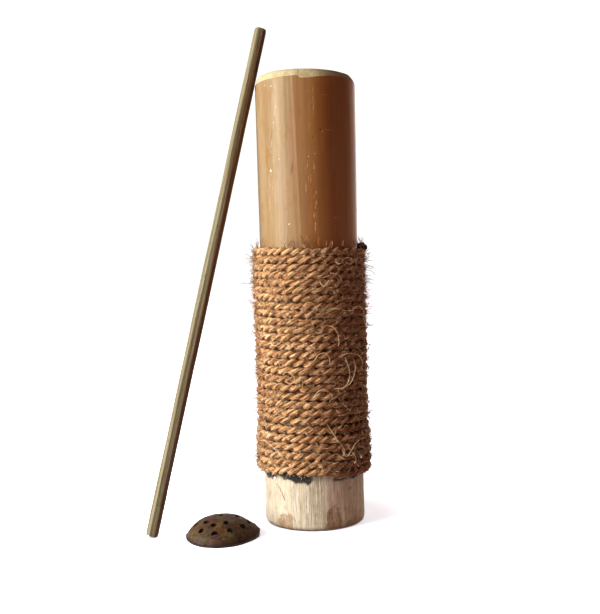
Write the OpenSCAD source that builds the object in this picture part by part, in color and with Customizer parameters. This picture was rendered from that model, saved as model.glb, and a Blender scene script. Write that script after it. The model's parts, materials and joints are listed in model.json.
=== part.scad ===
// A bamboo steamer for rice-flour cylinders, with the two loose pieces that go with it.
// The tube stands on a bored wooden foot, and a coir rope wound round both makes the grip.
// A perforated coconut-shell strainer lies in front of it, and a push stick leans on its rim.
// Millimetres, +Z up, origin at the centre of the foot's underside.

/* [Tube] */
// Height from the foot's underside to the rim
steamer_h = 312; // [250:1:390]
// Outer diameter of the bamboo at the rim
rim_d = 70; // [58:1:86]
// How much thinner the bamboo is where it meets the foot
tube_taper = 2.4; // [0:0.2:4]
// Thickness of the bamboo wall at the rim
tube_wall = 6.5; // [4.6:0.1:9]
// Height of the band shaved round the outside of the rim
rim_shave_h = 6; // [2:0.5:9]
// How far that band is cut in at the top
rim_shave_in = 2.4; // [0.6:0.2:3.2]

/* [Foot] */
// Height of the foot up to the shoulder that the tube stands on
foot_h = 62; // [44:1:76]
// How far the foot stands out past the bamboo above it
foot_step = 1.7; // [0.5:0.1:5]
// Rounding of the foot's lower edge
foot_edge_r = 2; // [0.5:0.5:4]
// Length of the spigot inside the tube
spigot_l = 28; // [22:1:40]
// How much deeper the tube is reamed, all round, where it takes the spigot
socket_cut = 0.8; // [0.4:0.1:1.5]
// Radial gap between the spigot and that socket
spigot_gap = 0.1; // [0.05:0.05:0.3]
// Diameter of the steam bore through the foot
steam_bore_d = 22; // [10:1:28]
// Width of the ledge round the steam chamber, which the strainer seats on
ledge_w = 8.2; // [6:0.2:12]
// Depth of the steam chamber in the top of the spigot
chamber_depth = 10; // [4:1:14]

/* [Pegs] */
// Number of pegs that pin the spigot in the tube
peg_count = 3; // [2:1:6]
// Diameter of each peg
peg_d = 4; // [3:0.5:5]
// How deep each peg reaches into the spigot
peg_depth = 8; // [5:1:12]

/* [Rope] */
// Diameter of the coir rope
rope_d = 5.6; // [4.5:0.1:7]
// Height of the rope's lower edge above the ground
grip_bottom = 35; // [26:1:42]
// Height of the rope's upper edge above the ground
grip_top = 195.6; // [150:0.1:230]
// How much wider than average the lowest turns are spaced, and the topmost closer, as a share
turn_spread = 0.1; // [0:0.01:0.11]
// Gap between the rope and what it is wound on
rope_gap = 0.1; // [0.05:0.05:0.3]

/* [Strainer] */
// Play all round between the coconut-shell strainer and the bore that it drops into
shell_play = 3.75; // [1:0.25:6]
// Height of its dome
shell_h = 13.5; // [10:0.5:18]
// Thickness of the shell
shell_t = 3.5; // [2.4:0.1:5]
// Diameter of each steam hole
shell_hole_d = 3.8; // [2:0.1:5]
// Clear floor between the strainer and the grip
shell_clear = 7.6; // [4:0.2:20]

/* [Push stick] */
// Length of the stick
stick_l = 356.5; // [300:1:430]
// Thickness of the stick
stick_d = 8.8; // [7:0.2:12]
// Lean of the stick from upright, in degrees
stick_lean = 14.5; // [10:0.5:18]
// Gap between the stick and the rim that it leans on
stick_gap = 0.3; // [0.2:0.1:1]

/* [Hidden] */
$fn = 96;

// Bamboo
rim_r = rim_d / 2;
tube_foot_r = rim_r - tube_taper / 2;
bore_r = rim_r - tube_wall;
rim_ease = 0.8;        // rounding of the rim's inner edge
function tube_r(z) = tube_foot_r + (rim_r - tube_foot_r) * (z - foot_h) / (steamer_h - foot_h);

// Foot
foot_r = tube_foot_r + foot_step;
socket_r = bore_r + socket_cut;
spigot_r = socket_r - spigot_gap;
spigot_top = foot_h + spigot_l;
spigot_lead = 1;       // chamfer on the spigot's top edge
chamber_r = spigot_r - spigot_lead - ledge_w;

// Pegs stand below the chamber's floor, inside the grip, evenly round the tube
peg_z = foot_h + (spigot_l - chamber_depth) / 2;
peg_turn = 30;
peg_l = tube_foot_r - spigot_r + peg_depth;
peg_sink = 0.3;        // how far each peg's head lies below the bamboo's surface

// Rope: a left-handed winding that starts and ends on the right
rope_r = rope_d / 2;
rope_start = 3;
rope_steps = 20;
rope_sides = 6;
least_pitch = 0.985 * rope_d;
turns = floor((grip_top - grip_bottom - rope_d) / least_pitch);
pitch = (grip_top - grip_bottom - rope_d) / turns;
function ease(t) = let (u = max(0, min(1, t))) u * u * (3 - 2 * u);
function rope_z(t) = grip_bottom + rope_r + pitch * t * (1 + turn_spread * (1 - t / turns));
function seat_r(z) = foot_r + (tube_r(max(z, foot_h)) - foot_r) * ease((z - foot_h) / rope_d);
// The rope runs straight between two of its rings, so its rings stand off by this factor to clear the bend
rope_bow = 1 / cos(180 / rope_steps);
function rope_axis_r(z) = (seat_r(z) + rope_gap + rope_r) * rope_bow;
grip_r = rope_axis_r(grip_bottom + rope_r) + rope_r;

// Strainer: a cap cut from a sphere, lying dome up in front of the grip
shell_r = bore_r - shell_play;
shell_ball_r = (shell_r * shell_r + shell_h * shell_h) / (2 * shell_h);
shell_turn = 211.2;
shell_reach = grip_r + shell_clear + shell_r;
// Each hole by its distance from the middle, as a share of the shell's radius, and its bearing
shell_holes = [
    [0.12, 100], [0.42, 13], [0.45, 62], [0.48, 112], [0.46, 160],
    [0.48, -145], [0.52, -109], [0.44, -70], [0.68, -171], [0.73, -132],
    [0.76, -99], [0.71, -68], [0.68, -31], [0.70, 2], [0.69, 38],
    [0.72, 74], [0.70, 108], [0.69, 146]];

// Stick: leans inwards on the rim, and its plane is turned a little off the tube's middle
stick_r = stick_d / 2;
touch_turn = 186;      // bearing of the point where the stick meets the rim
lean_turn = 24.8;      // bearing that the stick leans towards
lean_off = touch_turn - 180 - lean_turn;
// The stick meets the lower edge of the shaved band, or its upper edge where that stands out further
touch_z = min(steamer_h - rim_shave_h, stick_l * cos(stick_lean));
touch_r = max(rim_r, rim_r - rim_shave_in + rim_shave_h * tan(stick_lean));
stick_half = sqrt(pow(stick_r / cos(stick_lean) * cos(lean_off), 2) + pow(stick_r * sin(lean_off), 2));
touch_reach = touch_r + stick_half + stick_gap;
// The stick's round envelope stands on its lowest edge
stick_foot_z = stick_r * sin(stick_lean);
stick_run = (touch_z - stick_foot_z) * tan(stick_lean);
stick_foot = [
    touch_reach * cos(touch_turn) - stick_run * cos(lean_turn),
    touch_reach * sin(touch_turn) - stick_run * sin(lean_turn),
    stick_foot_z];
// Whittled faces: the corners of the stick's outline, as shares of its radius
stick_corners = [
    [1.00, 8], [0.97, 62], [1.00, 118], [0.95, 168], [1.00, 226], [0.96, 280], [1.00, 322]];

function polar(r, a) = [r * cos(a), r * sin(a)];

module bamboo_tube() {
    color("peru")
    difference() {
        rotate_extrude()
            polygon([
                [bore_r, spigot_top],
                [socket_r, spigot_top],
                [socket_r, foot_h],
                [tube_foot_r, foot_h],
                [rim_r, steamer_h - rim_shave_h],
                [rim_r - rim_shave_in, steamer_h],
                [bore_r + rim_ease, steamer_h],
                [bore_r, steamer_h - rim_ease]]);
        peg_set(peg_l + tube_taper);
    }
}

// Round bars of length reach, from the pegs' inner ends outwards
module peg_set(reach) {
    for (i = [0 : peg_count - 1])
        rotate(peg_turn + 360 * i / peg_count)
            translate([tube_foot_r - peg_l, 0, peg_z])
                rotate([0, 90, 0])
                    cylinder(h = reach, d = peg_d);
}

module foot_pegs() {
    color("burlywood") peg_set(peg_l - peg_sink);
}

module wooden_foot() {
    color("antiquewhite")
    difference() {
        union() {
            rotate_extrude()
                foot_outline();
            translate([0, 0, foot_h])
                cylinder(h = spigot_l - spigot_lead, r = spigot_r);
            translate([0, 0, spigot_top - spigot_lead])
                cylinder(h = spigot_lead, r1 = spigot_r, r2 = spigot_r - spigot_lead);
        }
        translate([0, 0, -1])
            cylinder(h = spigot_top + 2, d = steam_bore_d);
        translate([0, 0, spigot_top - chamber_depth])
            cylinder(h = chamber_depth + 1, r = chamber_r);
        peg_set(peg_l);
    }
}

// Half the foot's section below the shoulder, with its lower edge rounded
module foot_outline() {
    square([foot_r - foot_edge_r, foot_h]);
    translate([0, foot_edge_r])
        square([foot_r, foot_h - foot_edge_r]);
    intersection() {
        translate([foot_r - foot_edge_r, foot_edge_r])
            circle(r = foot_edge_r);
        translate([foot_r - foot_edge_r, 0])
            square([foot_edge_r, foot_edge_r]);
    }
}

module coir_rope() {
    rings = turns * rope_steps;
    points = [
        for (i = [0 : rings], j = [0 : rope_sides - 1])
            let (
                z = rope_z(i / rope_steps),
                a = rope_start - 360 * i / rope_steps,
                side = 360 * j / rope_sides)
            concat(polar(rope_axis_r(z) + rope_r * cos(side), a), z + rope_r * sin(side))];
    walls = [
        for (i = [0 : rings - 1], j = [0 : rope_sides - 1])
            let (a = i * rope_sides + j, b = i * rope_sides + (j + 1) % rope_sides)
            [b, a, a + rope_sides, b + rope_sides]];
    start_cap = [for (j = [0 : rope_sides - 1]) j];
    end_cap = [for (j = [rope_sides - 1 : -1 : 0]) rings * rope_sides + j];
    color("chocolate")
        polyhedron(points, concat(walls, [start_cap, end_cap]), convexity = 10);
}

module shell_strainer() {
    color("saddlebrown")
    rotate(shell_turn)
        translate([shell_reach, 0, 0])
            rotate(-shell_turn)
                difference() {
                    intersection() {
                        translate([0, 0, shell_h - shell_ball_r])
                            difference() {
                                sphere(r = shell_ball_r);
                                sphere(r = shell_ball_r - shell_t);
                            }
                        cylinder(h = shell_h + 1, r = shell_r + 1);
                    }
                    for (hole = shell_holes)
                        shell_hole(hole[0] * shell_r, hole[1]);
                }
}

// A hole drilled square to the dome, at distance out from its middle
module shell_hole(out, bearing) {
    rotate(bearing)
        translate([0, 0, shell_h - shell_ball_r])
            rotate([0, asin(out / shell_ball_r), 0])
                translate([0, 0, shell_ball_r - 2 * shell_t])
                    cylinder(h = 3 * shell_t, d = shell_hole_d);
}

module push_stick() {
    color("darkkhaki")
    translate(stick_foot)
        rotate(lean_turn)
            rotate([0, stick_lean, 0])
                linear_extrude(height = stick_l)
                    polygon([for (c = stick_corners) polar(c[0] * stick_r, c[1])]);
}

bamboo_tube();
wooden_foot();
foot_pegs();
coir_rope();
shell_strainer();
push_stick();
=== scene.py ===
"""Looks for a bamboo steaming tube: coir-rope grip, whittled foot, coconut-shell strainer and push stick.

Everything is in metres in the model's own frame: +Z up, the foot's underside at the origin, -Y to the viewer.
Bearings are angles round the tube's axis from +X, so 270 degrees is the side that faces the viewer.
"""
import json
import math
import random

import bmesh
import bpy
from mathutils import Matrix, Vector, noise
import numpy as np


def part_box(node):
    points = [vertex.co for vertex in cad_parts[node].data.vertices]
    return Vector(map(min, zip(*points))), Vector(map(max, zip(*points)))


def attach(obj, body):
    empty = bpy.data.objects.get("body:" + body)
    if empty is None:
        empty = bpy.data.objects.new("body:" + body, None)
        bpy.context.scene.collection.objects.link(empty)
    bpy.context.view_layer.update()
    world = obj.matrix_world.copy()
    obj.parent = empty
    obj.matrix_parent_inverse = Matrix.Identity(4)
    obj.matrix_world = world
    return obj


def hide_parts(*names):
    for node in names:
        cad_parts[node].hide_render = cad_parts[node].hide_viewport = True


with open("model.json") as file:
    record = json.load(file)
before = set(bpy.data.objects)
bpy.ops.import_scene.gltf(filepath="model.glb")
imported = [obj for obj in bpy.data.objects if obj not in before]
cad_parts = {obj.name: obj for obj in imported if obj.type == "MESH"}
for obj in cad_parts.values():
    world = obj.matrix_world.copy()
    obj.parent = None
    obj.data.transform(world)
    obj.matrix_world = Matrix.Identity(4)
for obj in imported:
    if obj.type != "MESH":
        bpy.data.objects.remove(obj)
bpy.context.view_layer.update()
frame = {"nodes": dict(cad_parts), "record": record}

MM = 0.001

# ---- sizes read from the frame ------------------------------------------------------------------
tube_low, tube_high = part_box("bamboo_tube")
foot_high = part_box("wooden_foot")[1]
shell_low, shell_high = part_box("shell_strainer")
bore_radius = {m["name"]: m["dims"]["r_mm"] * MM for m in frame["record"]["mounts"] if "r_mm" in m["dims"]}

RIM_Z = tube_high[2]
RIM_R = tube_high[0]
BORE_R = bore_radius["tube_mouth"]
SHOULDER_Z = tube_low[2]
FOOT_R = foot_high[0]
SPIGOT_TOP = foot_high[2]
STEAM_R = bore_radius["steam_bore"]
SHELL_MID = Vector(((shell_low[0] + shell_high[0]) / 2, (shell_low[1] + shell_high[1]) / 2, 0))
SHELL_R = (shell_high[0] - shell_low[0]) / 2
SHELL_H = shell_high[2]

# ---- sizes that the frame doesn't say ------------------------------------------------------------
TAPER = 1.2 * MM            # how much thinner the bamboo is at the shoulder than at the rim, on the radius
SOCKET_R = BORE_R + 0.8 * MM
SPIGOT_R = SOCKET_R - 0.1 * MM
CHAMBER_R = 20.0 * MM
CHAMBER_Z = SPIGOT_TOP - 10 * MM
SHAVE_H = 6.0 * MM          # the knife-cut band round the rim
SHAVE_IN = 2.4 * MM
RIM_SLOPE = 0.8 * MM / (35 * MM)   # the rim is sawn a little askew, lower on the right
ROPE_R = 2.8 * MM
ROPE_BOTTOM = 35.0 * MM
ROPE_TOP = 195.6 * MM
TURNS = 28
TURN_SPREAD = 0.10          # the lowest turns are wider apart than average by this share, the topmost closer
ROPE_START = math.radians(3)
FOOT_TOP = 40.4 * MM        # how high the foot's own wood reaches under the rope
STRAND_R = 1.56 * MM
STRAND_OFF = 1.30 * MM      # from the rope's axis to the middle of each strand
STRAND_LEAD = 13.8 * MM     # length of rope in which a strand goes once round
SHELL_T = 3.5 * MM
SHELL_HOLE_R = 1.9 * MM
SHELL_HOLES = (             # how far out as a share of the shell's radius, and the bearing
    (0.12, 100), (0.42, 13), (0.45, 62), (0.48, 112), (0.46, 160),
    (0.48, -145), (0.52, -109), (0.44, -70), (0.68, -171), (0.73, -132),
    (0.76, -99), (0.71, -68), (0.68, -31), (0.70, 2), (0.69, 38),
    (0.72, 74), (0.70, 108), (0.69, 146))
STICK_CORNERS = (           # how far out as a share of the stick's radius, and the bearing
    (1.00, 8), (0.97, 62), (1.00, 118), (0.95, 168), (1.00, 226), (0.96, 280), (1.00, 322))
STICK_SKIN = ((302, 40), (95, 30))  # bearing of the faces with the dark skin left on, and how wide they are
STICK_R = 4.4 * MM

# ---- how finely the pieces are cut up -------------------------------------------------------------
TUBE_STEPS = 384            # steps round the tube
FOOT_STEPS = 240
SHELL_STEPS = 144
DOME_ROWS = 36              # rings from the dome's middle to its edge, outside
HOLLOW_ROWS = 24            # and inside
HOLE_SIDES = 22
STICK_ROWS = 150            # rings along the stick
STICK_FACE_STEPS = 6        # steps across each of its faces
STEPS_PER_TURN = 190        # rings along the rope in each turn of the winding
STRAND_SIDES = 18
LEG_STEPS = 7               # steps from each point of a long loose fibre to the next

# ---- lights and floor -----------------------------------------------------------------------------
GLOW_NEAR, GLOW_FAR = 0.58, 1.1         # how much the floor glows right by the foot, and further off
NEAR_BY, FAR_OFF = 42 * MM, 100 * MM    # and at which distances from the tube's axis
CONTACT_SHADE = 30 * MM     # how far from a piece the floor darkens under it
FLOOR_WHITE = (0.72, 0.77, 0.93, 1)
FLOOR_LIGHT = (1.0, 0.985, 1.0, 1)
WORLD_FILL = 0.30
WORLD_GLOSS = 0.75
FILL_COLOUR = (1.0, 0.70, 0.52, 1)
GLOSS_COLOUR = (0.95, 0.97, 1.0, 1)
LIGHT_AIM = Vector((0, 0, 0.15))
CAMERA_TILT = math.radians(2.707)
CAMERA_ROLL = math.radians(1.443)
CAMERA_LENS = 49.54         # millimetres, on a frame 36 mm high
CAMERA_PLACE = (-0.007208, -0.600, 0.17946)


# ---- small helpers --------------------------------------------------------------------------------
def polar(radius, bearing, z=0.0):
    """A point at that distance from the tube's axis, with the bearing in radians."""
    return Vector((radius * math.cos(bearing), radius * math.sin(bearing), z))


def drift(value, seed, size):
    """Smooth wander from about -1 to 1 along a length, one wave per size."""
    return noise.noise(Vector((value / size, seed * 7.31, seed * 3.17))) * 1.6


def drift_round(bearing, z, seed, waves, height):
    """Smooth wander over a round surface: waves lobes round it, and one wave per height up it."""
    spot = Vector((math.cos(bearing) * waves / 3, math.sin(bearing) * waves / 3, z / height + seed * 5.7))
    return noise.noise(spot) * 1.6


def ease(x):
    """A smooth step from 0 to 1."""
    x = min(1.0, max(0.0, x))
    return x * x * (3 - 2 * x)


def bell(x):
    """1 at nought, falling smoothly to about nought at 2."""
    return math.exp(-x * x)


def apart(a, b):
    """The difference of two bearings in degrees, from -180 to 180."""
    return (a - b + 180) % 360 - 180


def finish_mesh(bm, name, materials, sharp=None):
    """Turns the bmesh into a piece at the origin, with outward faces, smooth but for edges over sharp degrees."""
    bmesh.ops.recalc_face_normals(bm, faces=bm.faces)
    for face in bm.faces:
        face.smooth = True
    mesh = bpy.data.meshes.new(name)
    bm.to_mesh(mesh)
    bm.free()
    for material in materials:
        mesh.materials.append(material)
    if sharp is not None:
        mesh.set_sharp_from_angle(angle=math.radians(sharp))
    piece = bpy.data.objects.new(name, mesh)
    bpy.context.scene.collection.objects.link(piece)
    return piece


def turned(outline, steps, ring=True):
    """A section outline of (radius, z) points, closed on itself if it is a ring, spun round the Z axis."""
    bm = bmesh.new()
    points = [bm.verts.new((r, 0, z)) for r, z in outline]
    edges = [bm.edges.new(pair) for pair in zip(points, points[1:] + points[:1] * ring)]
    bmesh.ops.spin(
        bm, geom=points + edges, cent=(0, 0, 0), axis=(0, 0, 1), angle=math.tau, steps=steps, use_merge=True)
    bmesh.ops.remove_doubles(bm, verts=bm.verts, dist=0.001 * MM)
    return bm


def line_up(low, high, count):
    """count heights from low to high."""
    return [low + (high - low) * i / (count - 1) for i in range(count)]


def attribute(mesh, name, kind, values):
    """Stores one value per point under that name."""
    layer = mesh.attributes.new(name, kind, "POINT")
    field = "vector" if kind == "FLOAT_VECTOR" else "value"
    layer.data.foreach_set(field, np.asarray(values, dtype=np.float32).ravel())


def swept(name, runs, sides, material, capped=True):
    """Round bars along runs, each a list of (point, radius in metres), as one mesh."""
    curve = bpy.data.curves.new(name, "CURVE")
    curve.dimensions = "3D"
    curve.bevel_depth = MM
    curve.bevel_resolution = (sides - 4) // 2
    curve.use_fill_caps = capped
    for run in runs:
        spline = curve.splines.new("POLY")
        spline.points.add(len(run) - 1)
        spline.points.foreach_set("co", [c for point, _ in run for c in (*point, 1.0)])
        spline.points.foreach_set("radius", [radius / MM for _, radius in run])
    holder = bpy.data.objects.new(name + "_curve", curve)
    bpy.context.scene.collection.objects.link(holder)
    bpy.context.view_layer.update()
    mesh = bpy.data.meshes.new_from_object(holder.evaluated_get(bpy.context.evaluated_depsgraph_get()))
    bpy.data.objects.remove(holder)
    bpy.data.curves.remove(curve)
    mesh.name = name
    mesh.materials.clear()
    mesh.materials.append(material)
    mesh.polygons.foreach_set("use_smooth", [True] * len(mesh.polygons))
    piece = bpy.data.objects.new(name, mesh)
    bpy.context.scene.collection.objects.link(piece)
    return piece


# ---- materials ------------------------------------------------------------------------------------
def paint(r, g, b):
    """A colour given as it looks on a screen, 0 to 255, as the shader wants it."""
    def linear(c):
        c /= 255
        return c / 12.92 if c <= 0.04045 else ((c + 0.055) / 1.055) ** 2.4
    return (linear(r), linear(g), linear(b), 1.0)


class Tree:
    """Short ways to add nodes to a material or a node group."""

    def __init__(self, tree):
        self.tree = tree

    def add(self, kind, inputs=None, **settings):
        node = self.tree.nodes.new(kind)
        for key, value in settings.items():
            setattr(node, key, value)
        for key, value in (inputs or {}).items():
            self.plug(node.inputs[key], value)
        return node

    def plug(self, socket, value):
        if isinstance(value, bpy.types.NodeSocket):
            self.tree.links.new(value, socket)
        else:
            socket.default_value = value

    def maths(self, operation, a, b=0.0):
        return self.add("ShaderNodeMath", {0: a, 1: b}, operation=operation).outputs[0]

    def span(self, value, low, high, to_low=0.0, to_high=1.0):
        """Maps low..high to to_low..to_high, smoothly, and holds it there outside."""
        node = self.add(
            "ShaderNodeMapRange",
            {"Value": value, "From Min": low, "From Max": high, "To Min": to_low, "To Max": to_high},
            interpolation_type="SMOOTHSTEP")
        return node.outputs["Result"]

    def axes(self, vector):
        """The vector's X, Y and Z."""
        return self.add("ShaderNodeSeparateXYZ", {0: vector}).outputs

    def towards(self, parts, x, y):
        """How far a place, given as its X, Y and Z, lies along a level direction."""
        return self.maths("ADD", self.maths("MULTIPLY", parts[0], x), self.maths("MULTIPLY", parts[1], y))

    def vectors(self, operation, a, b):
        return self.add("ShaderNodeVectorMath", {0: a, 1: b}, operation=operation).outputs[0]

    def stretch(self, vector, scale):
        return self.vectors("MULTIPLY", vector, scale)

    def grain(self, vector, scale, detail=4.0, rough=0.5, warp=0.0):
        node = self.add(
            "ShaderNodeTexNoise",
            {"Vector": vector, "Scale": scale, "Detail": detail, "Roughness": rough, "Distortion": warp})
        return node.outputs["Fac"]

    def warped(self, vector, scale, amount):
        """The vector moved about by a smooth noise, by up to about half the amount."""
        wander = self.add("ShaderNodeTexNoise", {"Vector": vector, "Scale": scale, "Detail": 4.0}).outputs["Color"]
        centred = self.vectors("SUBTRACT", wander, (0.5, 0.5, 0.5))
        return self.vectors("ADD", vector, self.vectors("MULTIPLY", centred, (amount,) * 3))

    def mix(self, share, a, b):
        node = self.add("ShaderNodeMix", data_type="RGBA")
        self.plug(node.inputs[0], share)
        self.plug(node.inputs[6], a)
        self.plug(node.inputs[7], b)
        return node.outputs[2]

    def over(self, colour, mask, share, paint_over):
        """The colour with another laid over it where the mask says, by at most that share."""
        return self.mix(self.maths("MULTIPLY", mask, share), colour, paint_over)

    def bump(self, height, distance, strength=1.0, under=None):
        node = self.add("ShaderNodeBump", {"Height": height, "Distance": distance, "Strength": strength})
        if under is not None:
            self.plug(node.inputs["Normal"], under)
        return node.outputs["Normal"]

    def group(self, group, **inputs):
        node = self.add("ShaderNodeGroup", node_tree=group)
        for key, value in inputs.items():
            self.plug(node.inputs[key.replace("_", " ")], value)
        return node.outputs[0]


def start_group(name, inputs, output):
    """An empty shader group with those float or vector inputs and one float output."""
    group = bpy.data.node_groups.new(name, "ShaderNodeTree")
    for key, kind in inputs:
        group.interface.new_socket(key, in_out="INPUT", socket_type="NodeSocket" + kind)
    group.interface.new_socket(output, in_out="OUTPUT", socket_type="NodeSocketFloat")
    tree = Tree(group)
    source = tree.add("NodeGroupInput")
    sink = tree.add("NodeGroupOutput")
    return group, tree, source.outputs, sink.inputs[0]


def long_grain_group():
    """Streaks that run along Z: Fineness is streaks per metre across, Stretch how short they are along."""
    group, tree, given, out = start_group(
        "long grain", [("Vector", "Vector"), ("Fineness", "Float"), ("Stretch", "Float"), ("Low", "Float"),
                       ("High", "Float")], "Streak")
    across = tree.add("ShaderNodeCombineXYZ", {0: 1.0, 1: 1.0, 2: given["Stretch"]}).outputs[0]
    streak = tree.grain(tree.stretch(given["Vector"], across), given["Fineness"], 5.0, 0.62)
    tree.plug(out, tree.span(streak, given["Low"], given["High"]))
    return group


def mark_group():
    """A soft-edged spot or line on a round surface, at a bearing in radians and a height."""
    group, tree, given, out = start_group(
        "surface mark", [("Vector", "Vector"), ("Bearing", "Float"), ("Height", "Float"), ("Half width", "Float"),
                         ("Half length", "Float"), ("Slant", "Float"), ("Softness", "Float")], "Mask")
    place = tree.axes(given["Vector"])
    cosine = tree.maths("COSINE", given["Bearing"])
    sine = tree.maths("SINE", given["Bearing"])
    aside = tree.maths(
        "SUBTRACT", tree.maths("MULTIPLY", place[1], cosine), tree.maths("MULTIPLY", place[0], sine))
    facing = tree.towards(place, cosine, sine)
    above = tree.maths("SUBTRACT", place[2], given["Height"])
    aside = tree.maths("SUBTRACT", aside, tree.maths("MULTIPLY", above, given["Slant"]))
    wide = tree.maths("DIVIDE", aside, given["Half width"])
    tall = tree.maths("DIVIDE", above, given["Half length"])
    far = tree.maths(
        "SQRT", tree.maths("ADD", tree.maths("MULTIPLY", wide, wide), tree.maths("MULTIPLY", tall, tall)))
    soft = tree.span(far, tree.maths("SUBTRACT", 1.0, given["Softness"]), 1.0, 1.0, 0.0)
    tree.plug(out, tree.maths("MULTIPLY", soft, tree.maths("GREATER_THAN", facing, 0.0)))
    return group


def patch_group():
    """Irregular patches: Scale per metre, shown where the noise passes Level, with an Edge of that softness."""
    group, tree, given, out = start_group(
        "patches", [("Vector", "Vector"), ("Scale", "Float"), ("Level", "Float"), ("Edge", "Float")], "Patch")
    rough = tree.grain(given["Vector"], given["Scale"], 6.0, 0.6, 0.4)
    tree.plug(out, tree.span(rough, given["Level"], tree.maths("ADD", given["Level"], given["Edge"])))
    return group


LONG_GRAIN = long_grain_group()
MARK = mark_group()
PATCHES = patch_group()


def start_material(name, **fixed):
    """A new material with its shader, whose fixed numbers are set on its own sockets."""
    material = bpy.data.materials.new(name)
    material.use_nodes = True
    tree = Tree(material.node_tree)
    material.node_tree.nodes.clear()
    shader = tree.add("ShaderNodeBsdfPrincipled")
    for key, value in fixed.items():
        shader.inputs[key.replace("_", " ")].default_value = value
    sink = tree.add("ShaderNodeOutputMaterial")
    tree.tree.links.new(shader.outputs[0], sink.inputs["Surface"])
    return material, tree, shader


def object_place(tree):
    return tree.add("ShaderNodeTexCoord").outputs["Object"]


def stored(tree, name, output="Vector"):
    return tree.add("ShaderNodeAttribute", attribute_name=name).outputs[output]


def streaks(tree, vector, fineness, stretch, low=0.35, high=0.65):
    return tree.group(LONG_GRAIN, Vector=vector, Fineness=fineness, Stretch=stretch, Low=low, High=high)


def mark(tree, vector, bearing, height, width, length, slant=0.0, softness=0.5):
    """A mark whose bearing is in degrees and whose other sizes are in millimetres; slant is sideways per upwards."""
    return tree.group(
        MARK, Vector=vector, Bearing=math.radians(bearing), Height=height * MM, Half_width=width * MM / 2,
        Half_length=length * MM / 2, Slant=slant, Softness=softness)


def patches(tree, vector, scale, level, edge):
    return tree.group(PATCHES, Vector=vector, Scale=scale, Level=level, Edge=edge)


def key_light_side(tree, place):
    """How far a place lies towards the left side, where the key light falls, in metres, less at the front right; it
    drives painted light on that side and painted shade on the other.
    """
    parts = tree.axes(place)
    leftward = tree.towards(parts, -0.906, -0.423)
    return tree.maths("ADD", leftward, tree.maths("MAXIMUM", parts[1], 0.0))


PALE_SCRATCHES = (      # bearing, height, width, length in millimetres, slant
    (233.4, 284.5, 0.6, 10, 0.20), (230.3, 275.0, 0.7, 9, 0.20), (226.4, 261.5, 0.8, 13, 0.19),
    (229.0, 252.0, 0.5, 7, 0.02), (215.5, 283.0, 0.4, 12, 0.03), (277.5, 245.5, 0.8, 9, 0.0),
    (270.3, 247.8, 0.7, 6, 0.05), (279.0, 229.5, 1.0, 5, 0.0), (278.6, 222.0, 0.6, 4, 0.0),
    (277.4, 207.0, 1.1, 13, 0.02), (276.6, 213.5, 0.6, 6, 0.05), (273.5, 238.5, 0.5, 9, 0.04),
    (278.0, 289.0, 0.5, 30, 0.01), (268.0, 232.0, 0.5, 12, 0.02), (221.0, 222.0, 0.5, 16, 0.02),
    (60.0, 250.0, 0.8, 30, 0.06), (95.0, 280.0, 0.7, 18, -0.08), (150.0, 235.0, 0.9, 26, 0.05),
    (10.0, 262.0, 0.6, 20, 0.04), (335.0, 230.0, 0.6, 14, -0.05), (120.0, 220.0, 0.7, 14, 0.1))
SCUFFS = (              # zones of fine pale dashes, each with its strength
    ((277.8, 222.0, 6.0, 60, 0.02, 0.9), 0.62), ((269.0, 236.0, 5.0, 30, 0.0, 0.9), 0.5),
    ((276.0, 282.0, 7.0, 46, 0.0, 0.9), 0.35), ((221.0, 235.0, 12.0, 80, 0.0, 0.9), 0.40),
    ((238.0, 262.0, 9.0, 60, 0.0, 0.9), 0.25), ((60.0, 240.0, 20.0, 70, 0.0, 0.9), 0.45),
    ((140.0, 262.0, 16.0, 60, 0.0, 0.9), 0.45))
PALE_FLECKS = (
    (224.4, 245.1, 1.9, 1.9, 0), (247.6, 208.4, 1.3, 1.4, 0.4), (229.0, 301.3, 1.0, 1.2, 0),
    (219.2, 302.8, 0.9, 0.9, 0), (237.2, 252.2, 0.7, 0.8, 0), (271.5, 252.8, 0.8, 0.8, 0),
    (278.9, 254.4, 0.9, 0.8, 0), (75.0, 240.0, 1.2, 1.4, 0), (170.0, 270.0, 1.0, 1.1, 0))
CROSS_SCRATCHES = (
    (294.5, 270.4, 8.6, 0.6, 0), (288.0, 269.2, 2.4, 1.3, 0), (291.0, 293.4, 6.5, 0.4, 0),
    (272.5, 295.6, 6.0, 0.4, 0), (280.0, 255.5, 8.0, 0.35, 0), (205.0, 232.0, 5.0, 0.4, 0),
    (302.0, 212.0, 4.0, 0.7, 0))
DARK_FLECKS = (
    (285.9, 270.4, 1.3, 2.0, 0), (277.3, 286.4, 0.8, 2.8, -0.1), (276.6, 265.2, 1.0, 1.2, 0),
    (40.0, 250.0, 1.2, 1.6, 0), (110.0, 262.0, 1.0, 2.6, 0.1), (190.0, 222.0, 0.9, 1.2, 0))


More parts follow.
